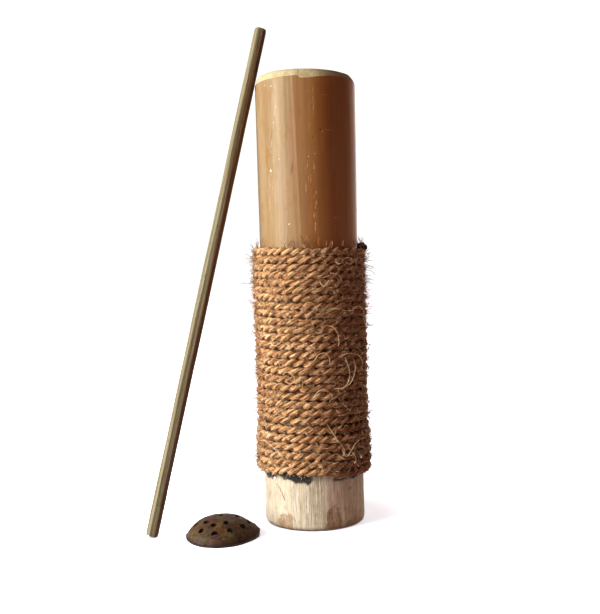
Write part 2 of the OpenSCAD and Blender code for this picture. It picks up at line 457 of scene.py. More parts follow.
def bamboo_skin():
    """Polished brown bamboo skin with streaks and scratches: paler to the left as painted light, red-brown to the
    right as painted shade.
    """
    material, tree, shader = start_material("bamboo skin", IOR=1.45, Coat_Weight=0.05, Coat_Roughness=0.35)
    place = object_place(tree)
    # painted light and shade: tan on the side towards the key light, red-brown on the side away from it
    lit_side = key_light_side(tree, place)
    wander = tree.maths("MULTIPLY", tree.maths("SUBTRACT", streaks(tree, place, 60, 0.08), 0.5), 5 * MM)
    lit_side = tree.span(tree.maths("ADD", lit_side, wander), -3 * MM, 33 * MM)
    brown = tree.mix(streaks(tree, place, 90, 0.06, 0.3, 0.7), paint(154, 84, 10), paint(168, 106, 24))
    tan = tree.mix(streaks(tree, place, 110, 0.07, 0.3, 0.7), paint(156, 134, 100), paint(168, 145, 110))
    colour = tree.mix(lit_side, brown, tan)
    # painted shade: browner just right of the raised line, where the surface turns away from the light
    colour = tree.over(colour, stored(tree, "past_ridge", "Fac"), 0.20, brown)
    green = tree.maths("MULTIPLY", patches(tree, tree.stretch(place, (1, 1, 0.25)), 110, 0.47, 0.12), lit_side)
    colour = tree.over(colour, green, 0.42, paint(150, 126, 74))
    colour = tree.over(colour, streaks(tree, place, 420, 0.012), 0.26, paint(124, 78, 36))
    colour = tree.over(colour, streaks(tree, place, 1500, 0.02, 0.5, 0.75), 0.18, paint(206, 166, 116))
    clouds = patches(tree, tree.stretch(place, (1, 1, 0.5)), 130, 0.50, 0.16)
    colour = tree.over(colour, clouds, 0.34, paint(150, 98, 38))
    specks = patches(tree, tree.stretch(place, (1, 1, 0.5)), 900, 0.70, 0.04)
    colour = tree.over(colour, specks, 0.45, paint(92, 52, 24))
    fine_specks = patches(tree, tree.stretch(place, (1, 1, 0.4)), 1300, 0.71, 0.03)
    colour = tree.over(colour, fine_specks, 0.40, paint(226, 196, 148))
    shadow = mark(tree, place, 227.6, 268.0, 2.6, 32, 0.20, 0.9)
    colour = tree.over(colour, shadow, 0.45, paint(112, 96, 60))
    lichen = mark(tree, place, 252.6, 245.0, 3.4, 12.0, 0.1, 0.9)
    colour = tree.over(colour, lichen, 0.5, paint(96, 72, 40))
    worn = None
    for spot, depth in SCUFFS:
        zone = tree.maths("MULTIPLY", mark(tree, place, *spot), depth)
        worn = zone if worn is None else tree.maths("MAXIMUM", worn, zone)
    dashes = tree.maths("MULTIPLY", worn, streaks(tree, place, 1300, 0.14, 0.57, 0.66))
    colour = tree.mix(dashes, colour, paint(232, 200, 148))
    broken = tree.span(tree.grain(place, 800, 3, 0.6), 0.44, 0.58)
    for spot in PALE_SCRATCHES:
        line = tree.maths("MULTIPLY", mark(tree, place, *spot), broken)
        colour = tree.over(colour, line, 0.60, paint(226, 208, 160))
    for spot in PALE_FLECKS:
        colour = tree.over(colour, mark(tree, place, *spot), 0.85, paint(246, 230, 196))
    for spot in CROSS_SCRATCHES:
        colour = tree.over(colour, mark(tree, place, *spot), 0.45, paint(206, 156, 108))
    dents = None
    for spot in DARK_FLECKS:
        dent = mark(tree, place, *spot)
        colour = tree.over(colour, dent, 0.75, paint(66, 34, 16))
        dents = dent if dents is None else tree.maths("MAXIMUM", dents, dent)
    tree.plug(shader.inputs["Base Color"], colour)
    tree.plug(
        shader.inputs["Roughness"],
        tree.maths("ADD", tree.maths("MULTIPLY", streaks(tree, place, 300, 0.03), 0.10), 0.50))
    fine = tree.bump(streaks(tree, place, 1100, 0.015), 0.05 * MM, 0.5)
    tree.plug(shader.inputs["Normal"], tree.bump(dents, -0.3 * MM, 1.0, fine))
    return material


def cut_bamboo():
    """Pale knife-cut bamboo at the rim and in the bore, browned to the right as painted shade, with a thin weathered
    brown line along the top edge that painted shade makes darker on the right.
    """
    material, tree, shader = start_material("cut bamboo", Roughness=0.75, IOR=1.45, Specular_IOR_Level=0.3)
    place = object_place(tree)
    parts = tree.axes(place)
    colour = tree.mix(streaks(tree, place, 1300, 0.03), paint(182, 170, 134), paint(206, 194, 160))
    colour = tree.over(colour, patches(tree, place, 130, 0.52, 0.12), 0.30, paint(180, 156, 110))
    # painted shade: the band darkens to brown on the side away from the key light
    shade = tree.span(tree.towards(parts, -0.92, -0.39), -22 * MM, 16 * MM, 0.80, 0.0)
    colour = tree.mix(shade, colour, paint(126, 84, 48))
    dots = patches(tree, tree.stretch(place, (1, 1, 0.1)), 1700, 0.62, 0.05)
    colour = tree.over(colour, dots, 0.5, paint(128, 88, 48))
    # a thin weathered brown line along the top edge, darker on the right where painted shade strengthens it
    slope = tree.maths("MULTIPLY", tree.maths("ADD", parts[0], RIM_R), RIM_SLOPE)
    rim = tree.span(tree.maths("ADD", parts[2], slope), RIM_Z - 1.3 * MM, RIM_Z - 0.3 * MM)
    colour = tree.over(colour, rim, tree.maths("ADD", shade, 0.12), paint(88, 64, 40))
    deep = tree.span(parts[2], RIM_Z - 20 * MM, RIM_Z - 60 * MM, 0.0, 0.6)
    colour = tree.mix(deep, colour, paint(176, 138, 88))
    tree.plug(shader.inputs["Base Color"], colour)
    tree.plug(
        shader.inputs["Normal"], tree.bump(streaks(tree, place, 1600, 0.03), 0.12 * MM, 0.6))
    return material


STAINS = (              # water stains: bearing, height, width, length, slant and softness, each with its strength
    ((234.5, 4.0, 13.0, 19, 0.08, 0.30), 0.50), ((228.5, 3.0, 8.0, 16, 0.0, 0.40), 0.34),
    ((291.5, 3.0, 14.0, 30, -0.08, 0.30), 0.58), ((288.5, 4.0, 8.0, 22, 0.0, 0.40), 0.40),
    ((306.0, 0.0, 22, 15, 0.0, 0.6), 0.50), ((322.0, 0.0, 22, 20, 0.0, 0.7), 0.40),
    ((60.0, 2.0, 30, 26, 0.0, 0.4), 0.5), ((150.0, 5.0, 24, 30, 0.0, 0.4), 0.55))
DARK_UNDER_ROPE = (            # the same for the near-black edge just under the rope
    ((207.0, 36.4, 24, 8.0, -0.12, 0.4), 0.95), ((236.0, 38.0, 14, 8.0, 0.0, 0.4), 0.92),
    ((252.0, 37.2, 18, 9.4, 0.0, 0.35), 0.97), ((262.0, 36.0, 10, 8.4, 0.0, 0.45), 0.94),
    ((298.0, 35.2, 11, 5.4, 0.2, 0.5), 0.85), ((324.0, 36.4, 34, 7.4, 0.1, 0.4), 0.94),
    ((20.0, 36.0, 30, 6, 0.0, 0.4), 0.9), ((60.0, 37.0, 24, 6, 0.0, 0.4), 0.85),
    ((100.0, 36.5, 34, 7, 0.0, 0.4), 0.9), ((165.0, 36.0, 30, 6, 0.0, 0.4), 0.9))


def foot_wood():
    """Pale whittled wood: silvery fibres, brown water stains low down, a near-black edge just under the rope, and
    painted light that makes the faces on the shaded right paler and pinker.
    """
    material, tree, shader = start_material("foot wood", IOR=1.45)
    place = object_place(tree)
    colour = tree.mix(streaks(tree, place, 240, 0.12), paint(206, 195, 170), paint(226, 218, 200))
    fibres = streaks(tree, place, 1500, 0.035, 0.46, 0.66)
    colour = tree.over(colour, fibres, 0.42, paint(170, 148, 114))
    colour = tree.over(colour, streaks(tree, place, 800, 0.05, 0.56, 0.70), 0.5, paint(246, 240, 224))
    weathered = patches(tree, tree.stretch(place, (1, 1, 0.5)), 260, 0.50, 0.12)
    colour = tree.over(colour, weathered, 0.38, paint(170, 153, 124))
    # painted light: the faces on the shaded right are paler and pinker, as if warm fill fell on them
    painted_fill = tree.mix(streaks(tree, place, 420, 0.2, 0.4, 0.6), paint(224, 196, 180), paint(244, 226, 212))
    colour = tree.over(colour, stored(tree, "shaded_face", "Fac"), 0.80, painted_fill)
    nicks = streaks(tree, place, 1500, 0.22, 0.63, 0.70)
    colour = tree.over(colour, nicks, 0.72, paint(108, 86, 66))
    glints = streaks(tree, tree.stretch(place, (1, 1, 1.3)), 1150, 0.20, 0.60, 0.70)
    colour = tree.over(colour, glints, 0.75, paint(252, 244, 226))
    wandering = tree.warped(place, 170, 17 * MM)
    frayed = tree.warped(place, 260, 5 * MM)
    ragged = tree.span(tree.grain(tree.stretch(place, (1, 1, 0.3)), 700, 3, 0.6), 0.34, 0.50, 0.55, 1.0)
    for spot, depth in STAINS:
        stain = tree.maths("MULTIPLY", mark(tree, wandering, *spot), ragged)
        colour = tree.over(colour, stain, depth, paint(150, 108, 54))
    height = tree.axes(place)[2]
    low_edge = tree.span(height, 4.0 * MM, 0.4 * MM)
    colour = tree.over(colour, low_edge, 0.45, paint(128, 104, 66))
    # near-black marks along the foot's edge just under the rope
    for spot, depth in DARK_UNDER_ROPE:
        near_black = tree.maths(
            "MULTIPLY", mark(tree, frayed, *spot), tree.span(tree.grain(place, 420, 4, 0.6), 0.34, 0.46, 0.80, 1.0))
        colour = tree.over(colour, near_black, depth, paint(38, 30, 26))
    chip = mark(tree, place, 219.3, 33.9, 3.0, 3.4, 0.0, 0.3)
    colour = tree.mix(chip, colour, paint(250, 248, 240))
    knot = mark(tree, place, 313.0, 27.0, 5.0, 4.0, 0.3, 0.9)
    colour = tree.over(colour, knot, 0.55, paint(120, 96, 78))
    tree.plug(shader.inputs["Base Color"], colour)
    tree.plug(shader.inputs["Roughness"], tree.span(fibres, 0.0, 1.0, 0.78, 0.62))
    rough = tree.bump(streaks(tree, place, 900, 0.05), 0.25 * MM, 0.7)
    tree.plug(shader.inputs["Normal"], tree.bump(tree.grain(place, 1400, 3, 0.6), 0.10 * MM, 0.5, rough))
    return material


def coir(dark, mid, pale, hair):
    """Spun coconut fibre: fibres run along the strand's own lay; painted shade darkens it in the gaps between turns
    and makes it red-brown on the side away from the light.
    """
    material, tree, shader = start_material("coir", Specular_IOR_Level=0.30, IOR=1.5)
    lay = stored(tree, "lay")
    depth = stored(tree, "proud", "Fac")
    place = object_place(tree)
    along = tree.stretch(lay, (1, 1, 0.06))
    fibres = tree.grain(along, 1700, 3, 0.65)
    broad = tree.grain(along, 620, 3, 0.60)
    colour = tree.mix(tree.span(broad, 0.36, 0.64), mid, pale)
    colour = tree.over(colour, tree.span(fibres, 0.54, 0.38), 0.80, dark)
    colour = tree.over(colour, tree.span(fibres, 0.56, 0.68), 0.70, hair)
    colour = tree.over(colour, patches(tree, place, 170, 0.53, 0.12), 0.40, dark)
    lit_side = key_light_side(tree, place)
    # painted shade: dark red-brown on the side away from the key light
    colour = tree.mix(tree.span(lit_side, 30 * MM, -12 * MM, 0.0, 0.58), colour, paint(138, 46, 8))
    # painted shade: darker the further a point sits in from the rope's outside, in the gaps between turns
    colour = tree.mix(tree.span(depth, 0.50, -0.40, 0.0, 0.88), colour, paint(40, 20, 10))
    # near-black towards the rope's upper end
    colour = tree.over(colour, stored(tree, "dark_end", "Fac"), 0.93, paint(30, 20, 14))
    tree.plug(shader.inputs["Base Color"], colour)
    tree.plug(shader.inputs["Roughness"], tree.span(fibres, 0.3, 0.7, 0.90, 0.62))
    coarse = tree.bump(broad, 0.5 * MM, 0.8)
    tree.plug(shader.inputs["Normal"], tree.bump(fibres, 0.22 * MM, 1.0, coarse))
    return material


def loose_fibre(name, dark, pale):
    """Single coir hairs, some pale gold and some red-brown."""
    material, tree, shader = start_material(name, Roughness=0.55, Specular_IOR_Level=0.35)
    place = object_place(tree)
    colour = tree.mix(tree.span(tree.grain(place, 330, 3, 0.6), 0.36, 0.64), dark, pale)
    tree.plug(shader.inputs["Base Color"], colour)
    return material


def coconut_shell():
    """Scraped coconut shell: mottled brown, olive and red with fine scrape lines and a dull shine."""
    material, tree, shader = start_material("coconut shell", IOR=1.45, Coat_Weight=0.05, Coat_Roughness=0.4)
    place = object_place(tree)
    colour = tree.mix(
        tree.span(tree.grain(place, 110, 5, 0.6, 0.5), 0.38, 0.62), paint(78, 52, 34), paint(92, 72, 42))
    colour = tree.over(colour, patches(tree, place, 150, 0.54, 0.10), 0.55, paint(110, 60, 38))
    olive = tree.stretch(place, (1, 1.3, 0.8))
    colour = tree.over(colour, patches(tree, olive, 95, 0.50, 0.14), 0.75, paint(110, 92, 44))
    colour = tree.over(colour, patches(tree, place, 420, 0.52, 0.08), 0.60, paint(38, 24, 18))
    scrapes = tree.grain(tree.stretch(place, (0.25, 1.0, 1.0)), 900, 4, 0.6)
    colour = tree.over(colour, tree.span(scrapes, 0.58, 0.72), 0.45, paint(172, 146, 118))
    height = tree.axes(place)[2]
    colour = tree.over(colour, tree.span(height, 4.2 * MM, 0.8 * MM), 0.8, paint(46, 34, 26))
    colour = tree.over(colour, stored(tree, "inner", "Fac"), 0.85, paint(40, 24, 15))
    tree.plug(shader.inputs["Base Color"], colour)
    tree.plug(shader.inputs["Roughness"], tree.span(tree.grain(place, 260, 4, 0.6), 0.3, 0.7, 0.52, 0.78))
    coarse = tree.bump(tree.grain(place, 240, 4, 0.55), 0.45 * MM, 0.7)
    tree.plug(shader.inputs["Normal"], tree.bump(scrapes, 0.10 * MM, 0.8, coarse))
    return material


def stick_wood():
    """A split and whittled stick: pale scraped faces, and faces where the dark outer skin is left."""
    material, tree, shader = start_material("stick wood", IOR=1.45)
    lay = stored(tree, "lay")
    skin = stored(tree, "skin", "Fac")
    lines = streaks(tree, lay, 1500, 0.012, 0.42, 0.62)
    broad = streaks(tree, lay, 330, 0.02, 0.38, 0.62)
    pale = tree.mix(broad, paint(154, 146, 116), paint(120, 110, 82))
    pale = tree.over(pale, lines, 0.45, paint(112, 92, 58))
    dark = tree.mix(broad, paint(128, 88, 48), paint(96, 64, 34))
    dark = tree.over(dark, lines, 0.5, paint(134, 104, 66))
    ragged = tree.maths("MULTIPLY", tree.maths("SUBTRACT", broad, 0.5), 0.5)
    colour = tree.mix(tree.span(tree.maths("ADD", skin, ragged), 0.35, 0.65), pale, dark)
    blotches = patches(tree, tree.stretch(lay, (1, 1, 0.3)), 300, 0.60, 0.08)
    colour = tree.over(colour, blotches, 0.4, paint(70, 52, 34))
    tree.plug(shader.inputs["Base Color"], colour)
    tree.plug(shader.inputs["Roughness"], tree.span(lines, 0.0, 1.0, 0.55, 0.75))
    tree.plug(shader.inputs["Normal"], tree.bump(lines, 0.12 * MM, 0.8))
    return material


def peg_wood():
    """Split bamboo pegs, straw coloured."""
    material, tree, shader = start_material("peg wood", Roughness=0.7)
    place = object_place(tree)
    tree.plug(
        shader.inputs["Base Color"],
        tree.mix(tree.grain(tree.stretch(place, (0.2, 0.2, 1)), 1800, 3), paint(196, 164, 108), paint(158, 122, 72)))
    return material


def torn_wood():
    """Fresh torn wood, almost white."""
    material, tree, shader = start_material("torn wood", Roughness=0.8)
    place = object_place(tree)
    tree.plug(
        shader.inputs["Base Color"],
        tree.mix(tree.grain(place, 1200, 3), paint(236, 230, 214), paint(252, 250, 244)))
    return material


SKIN = bamboo_skin()
CUT = cut_bamboo()
FOOT = foot_wood()
COIR = coir(paint(104, 62, 36), paint(200, 150, 101), paint(238, 202, 152), paint(254, 240, 210))
HAIR = loose_fibre("coir hair", paint(120, 68, 34), paint(255, 228, 186))
# the curls' hair is partly painted light: paler than the rope's other hairs so that curls in the shade on the right
# look lit
PALE_HAIR = loose_fibre("pale coir hair", paint(244, 204, 152), paint(255, 238, 206))
STRAW_HAIR = loose_fibre("brown coir hair", paint(86, 48, 24), paint(196, 146, 92))
DARK_HAIR = loose_fibre("dark coir hair", paint(34, 22, 15), paint(70, 44, 26))
SHELL = coconut_shell()
STICK = stick_wood()
PEG = peg_wood()
TORN = torn_wood()


# ---- bamboo tube ----------------------------------------------------------------------------------
def bamboo_radius(z):
    """The culm's plain outer radius at a height, below the shaved band."""
    return RIM_R - TAPER * (RIM_Z - z) / (RIM_Z - SHOULDER_Z)


GROOVE_EDGE = 247.2         # bearing in degrees of the left edge of the groove beside the raised line
RIDGE_AT_RIM = 255.6        # bearing of the raised line itself at the rim
RIDGE_SWING = 5.6 / (107 * MM)      # degrees that it turns for each metre further down
GROOVE_DEEP = 0.17 * MM
RIDGE_HIGH = 0.07 * MM
SHELF_DEEP = 0.12 * MM


def ridge_bearing(z):
    """Bearing in degrees of the raised line that runs down the culm, a little askew."""
    return RIDGE_AT_RIM + RIDGE_SWING * (RIM_Z - z)


def culm_wander(bearing, z):
    """How far the real culm's surface is from round, outwards: a shallow groove with a raised lip on its right."""
    out = 0.20 * MM * drift_round(bearing, z, 1, 3, 160 * MM) + 0.05 * MM * drift_round(bearing, z, 2, 14, 60 * MM)
    turn = math.degrees(bearing)
    from_lip = apart(turn, ridge_bearing(z))
    from_edge = apart(turn, GROOVE_EDGE)
    groove = ease(from_edge / 3.4 + 0.5) * ease(-from_lip / 3.0) * GROOVE_DEEP
    raised = RIDGE_HIGH * bell(from_lip)
    shelf = SHELF_DEEP * ease(from_lip / 8.0) * bell((from_lip - 8) / 12) if from_lip > 0 else 0.0
    return out + raised - groove - shelf


SLIP_BEARING = 259.5        # where the knife slipped: right of it the shaved band reaches further down


def knife_edge(bearing):
    """How far the lower edge of the shaved band lies from its mean height, in flats as a knife leaves it."""
    turn = math.degrees(bearing)
    rough = 0.30 * drift_round(bearing, 0, 3, 5, 1) + 0.20 * drift_round(bearing, 0, 4, 13, 1)
    front = bell(apart(turn, 272) / 60)
    past = apart(turn, SLIP_BEARING)
    step = -1.9 * ease(past / 4.5) * ease(apart(302, turn) / 34) if past > 0 else 0.0
    return (rough * (1 - 0.8 * front) + (0.5 + step) * front) * MM


def make_tube():
    """The culm: streaked skin outside, shaved band round the rim, end grain on top and bare wood inside."""
    skin_rows = line_up(SHOULDER_Z, RIM_Z - SHAVE_H - 2.6 * MM, 60)
    band = [
        (RIM_R - 0.05 * MM, RIM_Z - SHAVE_H), (RIM_R - 0.55 * MM, RIM_Z - SHAVE_H + 0.25 * MM),
        (RIM_R - 1.0 * MM, RIM_Z - SHAVE_H + 2.0 * MM), (RIM_R - 1.6 * MM, RIM_Z - SHAVE_H + 4.0 * MM),
        (RIM_R - SHAVE_IN + 0.2 * MM, RIM_Z - 0.9 * MM), (RIM_R - SHAVE_IN - 0.3 * MM, RIM_Z - 0.25 * MM),
        (RIM_R - SHAVE_IN - 1.0 * MM, RIM_Z)]
    wall = (band[-1][0] - BORE_R) / 3
    top = [(band[-1][0] - wall, RIM_Z), (band[-1][0] - 2 * wall, RIM_Z), (BORE_R + 0.8 * MM, RIM_Z),
           (BORE_R + 0.2 * MM, RIM_Z - 0.3 * MM), (BORE_R, RIM_Z - 0.9 * MM)]
    inside = [(BORE_R, z) for z in reversed(line_up(SPIGOT_TOP, RIM_Z - 3 * MM, 40))]
    socket = [(SOCKET_R, SPIGOT_TOP), (SOCKET_R, (SPIGOT_TOP + SHOULDER_Z) / 2), (SOCKET_R, SHOULDER_Z)]
    outline = [(bamboo_radius(z), z) for z in skin_rows] + band + top + inside + socket
    bm = turned(outline, TUBE_STEPS)
    # past_ridge marks the skin just right of the raised line, which the skin material browns as painted shade
    past_ridge = bm.verts.layers.float.new("past_ridge")
    band_foot = RIM_Z - SHAVE_H
    for vert in bm.verts:
        radius = math.hypot(vert.co.x, vert.co.y)
        bearing = math.atan2(vert.co.y, vert.co.x)
        z = vert.co.z
        beyond = apart(math.degrees(bearing), ridge_bearing(z))
        vert[past_ridge] = ease(beyond / 1.6) * ease((62 - beyond) / 40)
        if radius > BORE_R + 2.5 * MM:
            move = culm_wander(bearing, min(z, band_foot)) if z > ROPE_TOP - 12 * MM else 0.0
            if z >= band_foot - 0.01 * MM:
                fade = 1 - (z - band_foot) / SHAVE_H
                vert.co.z = z + knife_edge(bearing) * fade
                move += 0.22 * MM * drift_round(bearing, z, 6, 11, 4 * MM)
            vert.co += polar(move, bearing)
        elif z > RIM_Z - 1 * MM:
            vert.co.z += 0.12 * MM * drift_round(bearing, 0, 7, 9, 1)
        elif SPIGOT_TOP + 1 * MM < z:
            vert.co += polar(0.12 * MM * drift_round(bearing, z, 8, 6, 50 * MM), bearing)
        vert.co.z -= RIM_SLOPE * (RIM_R + vert.co.x) * ease((z - band_foot) / (SHAVE_H - 1 * MM))
    for face in bm.faces:
        centre = face.calc_center_median()
        radius = math.hypot(centre.x, centre.y)
        edge = band_foot + knife_edge(math.atan2(centre.y, centre.x))
        face.material_index = 0 if radius > BORE_R + 3.0 * MM and centre.z < edge + 0.02 * MM else 1
    return finish_mesh(bm, "bamboo_culm", [SKIN, CUT], 38)


# ---- wooden foot ------------------------------------------------------------------------------------
FOOT_FLATS = (      # bearings of the edges between the knife's long flats
    184, 203, 221, 240, 260, 282.5, 304, 324, 343, 3, 24, 47, 70, 92, 113, 137, 161)
SHADED_FROM, SHADED_TO = 281.6, 352     # bearings between which the faces get painted light, paler and pinker


def foot_flat_depth(bearing, z):
    """How deep the knife's long flats cut into the round at a bearing, in millimetres."""
    turn = math.degrees(bearing) % 360
    flats = sorted(FOOT_FLATS)
    at = max((f for f in flats if f <= turn), default=flats[-1] - 360)
    after = min((f for f in flats if f > turn), default=flats[0] + 360)
    share = (turn - at) / (after - at)
    half = math.radians(after - at) / 2
    bow = FOOT_R / MM * (1 - math.cos(half)) * (1 - (2 * share - 1) ** 2)
    return 0.62 * bow * (0.75 + 0.25 * drift(z, at, 30 * MM))


def make_foot():
    """The whittled foot with its steam bore, steam chamber and spigot."""
    outer = [
        (STEAM_R + 9 * MM, 0), (STEAM_R + 17 * MM, 0), (FOOT_R - 2.2 * MM, 0), (FOOT_R - 1.3 * MM, 0.25 * MM),
        (FOOT_R - 0.6 * MM, 0.8 * MM), (FOOT_R - 0.15 * MM, 1.6 * MM)]
    outer += [(FOOT_R, z) for z in line_up(2.6 * MM, FOOT_TOP - 0.4 * MM, 52)]
    around_tube = bamboo_radius(FOOT_TOP) + 0.05 * MM
    outer += [
        (FOOT_R - 0.5 * MM, FOOT_TOP), (around_tube, FOOT_TOP), (around_tube, SHOULDER_Z), (SPIGOT_R, SHOULDER_Z)]
    outer += [(SPIGOT_R, z) for z in line_up(SHOULDER_Z + 2 * MM, SPIGOT_TOP - 1 * MM, 6)]
    outer += [(SPIGOT_R - 1 * MM, SPIGOT_TOP), (CHAMBER_R + 0.4 * MM, SPIGOT_TOP)]
    inner = [(CHAMBER_R, SPIGOT_TOP - 0.4 * MM), (CHAMBER_R, CHAMBER_Z), (STEAM_R + 4 * MM, CHAMBER_Z),
             (STEAM_R + 0.12 * MM, CHAMBER_Z), (STEAM_R, CHAMBER_Z - 0.5 * MM)]
    inner += [(STEAM_R, z) for z in reversed(line_up(8 * MM, CHAMBER_Z - 8 * MM, 12))]
    inner += [(STEAM_R, 0.8 * MM), (STEAM_R + 0.8 * MM, 0)]
    bm = turned(outer + inner, FOOT_STEPS)
    shaded_face = bm.verts.layers.float.new("shaded_face")
    for vert in bm.verts:
        radius = math.hypot(vert.co.x, vert.co.y)
        bearing = math.atan2(vert.co.y, vert.co.x)
        z = vert.co.z
        turn = math.degrees(bearing) % 360
        vert[shaded_face] = ease((turn - SHADED_FROM) / 1.6) * ease((SHADED_TO - turn) / 24)
        if radius > FOOT_R - 0.6 * MM and z < 42 * MM or radius > SPIGOT_R + 1 * MM and z < 2 * MM:
            fade = ease((FOOT_TOP + 2 * MM - z) / (6 * MM))
            cut = foot_flat_depth(bearing, z) * MM * fade
            rough = 0.16 * MM * drift_round(bearing, z, 11, 26, 9 * MM)
            rough += 0.05 * MM * drift_round(bearing, z, 14, 90, 3 * MM)
            vert.co -= polar(cut - rough * fade, bearing)
            if z > 30 * MM:
                chew = bell((z - 38.0 * MM) / (3.6 * MM)) * max(0.0, drift_round(bearing, z, 12, 17, 5 * MM))
                vert.co -= polar(0.8 * MM * chew, bearing)
        elif radius < STEAM_R + 1 * MM:
            vert.co += polar(0.10 * MM * drift_round(bearing, z, 13, 8, 12 * MM), bearing)
    return finish_mesh(bm, "whittled_foot", [FOOT], 50)


def make_chip():
    """A splinter that stands off the foot's torn upper edge."""
    bm = bmesh.new()
    bmesh.ops.create_icosphere(bm, subdivisions=2, radius=1.0)
    bearing = math.radians(219.3)
    for vert in bm.verts:
        rough = 1 + 0.28 * noise.noise(vert.co * 1.7)
        vert.co = Vector((vert.co.x * 1.5, vert.co.y * 0.9, vert.co.z * 1.5)) * rough * MM
    bmesh.ops.rotate(bm, verts=bm.verts, cent=(0, 0, 0), matrix=Matrix.Rotation(bearing + math.pi / 2, 3, "Z"))
    bmesh.ops.translate(bm, verts=bm.verts, vec=polar(FOOT_R - 0.3 * MM, bearing, 34.0 * MM))
    return finish_mesh(bm, "foot_splinter", [TORN])


# ---- coir rope --------------------------------------------------------------------------------------
PITCH = (ROPE_TOP - ROPE_BOTTOM - 2 * ROPE_R) / TURNS


def rope_height(t):
    """Height of the rope's axis after t turns, with the small unevenness of hand winding."""
    plain = ROPE_BOTTOM + ROPE_R + PITCH * t * (1 + TURN_SPREAD * (1 - t / TURNS))
    ends = ease(t * 2) * ease((TURNS - t) * 2)
    return plain + ends * (0.50 * MM * drift(t, 21, 1.3) + 0.22 * MM * drift(t, 25, 0.17))


def rope_seat(z):
    """Radius of what the rope is wound on."""
    share = ease((z - SHOULDER_Z) / (2 * ROPE_R))
    return FOOT_R + (bamboo_radius(max(z, SHOULDER_Z)) - FOOT_R) * share


RAISED_FROM, RAISED_TO = 224, 294       # bearings between which the lowest turns sit higher
RAISED_BY = 2.2 * MM
RAISED_TURNS = 5


def rope_axis(t):
    """The rope's axis after t turns: a left-handed winding that climbs from the foot."""
    bearing = ROPE_START - math.tau * t
    z = rope_height(t)
    turn = math.degrees(bearing)
    raised = ease(apart(turn, RAISED_FROM) / 14) * ease(apart(RAISED_TO, turn) / 12)
    z += RAISED_BY * raised * max(0.0, 1 - t / RAISED_TURNS)
    out = rope_seat(z) + ROPE_R - 0.10 * MM + 0.30 * MM * drift(t, 22, 0.21) + 0.30 * MM * drift(t, 23, 0.9)
    return polar(out, bearing, z)


def rope_frame(t):
    """Point, direction, outward and sideways at t turns along the rope."""
    point = rope_axis(t)
    ahead = (rope_axis(t + 0.002) - rope_axis(t - 0.002)).normalized()
    out = polar(1.0, math.atan2(point.y, point.x))
    out = (out - ahead * out.dot(ahead)).normalized()
    return point, ahead, out, ahead.cross(out)


ROPE_RUN = []
LENGTH_AT = [0.0]
for step in range(TURNS * STEPS_PER_TURN + 1):
    ROPE_RUN.append(rope_frame(step / STEPS_PER_TURN))
    if step:
        LENGTH_AT.append(LENGTH_AT[-1] + (ROPE_RUN[-1][0] - ROPE_RUN[-2][0]).length)


PARTED = 9 * MM             # how far from the rope's upper end its two strands come apart


def strand_run(which):
    """One strand's path: left-handed round the rope's axis, plump and uneven, parted from the other at the top."""
    run = []
    last = len(ROPE_RUN) - 1
    for i, (point, _, out, side) in enumerate(ROPE_RUN):
        s = LENGTH_AT[i]
        turn = -math.tau * s / STRAND_LEAD + which * math.pi + 1.3 * drift(s, 31, 50 * MM)
        turn += 0.36 * drift(s, 32 + which, 12 * MM)
        off = STRAND_OFF * (1 + 0.14 * drift(s, 33 + which, 14 * MM))
        radius = STRAND_R * (1 + 0.14 * drift(s, 35 + which, 9 * MM) + 0.10 * drift(s, 37 + which, 3.1 * MM))
        radius *= 0.55 + 0.45 * ease(s / (5 * MM))
        place = point + off * (math.cos(turn) * out + math.sin(turn) * side)
        to_end = LENGTH_AT[last] - s
        if to_end < PARTED:
            away = ease(1 - to_end / PARTED)
            if which == 0:
                place = place + away * (Vector((0, 0, 2.9 * MM)) + 0.2 * MM * out)
            else:
                place = place + away * (3.2 * MM * out - Vector((0, 0, 1.8 * MM)))
            radius *= 1 + 0.42 * bell((to_end - 2.5 * MM) / (2.5 * MM))
            radius *= 0.35 + 0.65 * ease(to_end / (1.3 * MM))
        run.append((place, radius))
    return run


STRANDS = (strand_run(0), strand_run(1))


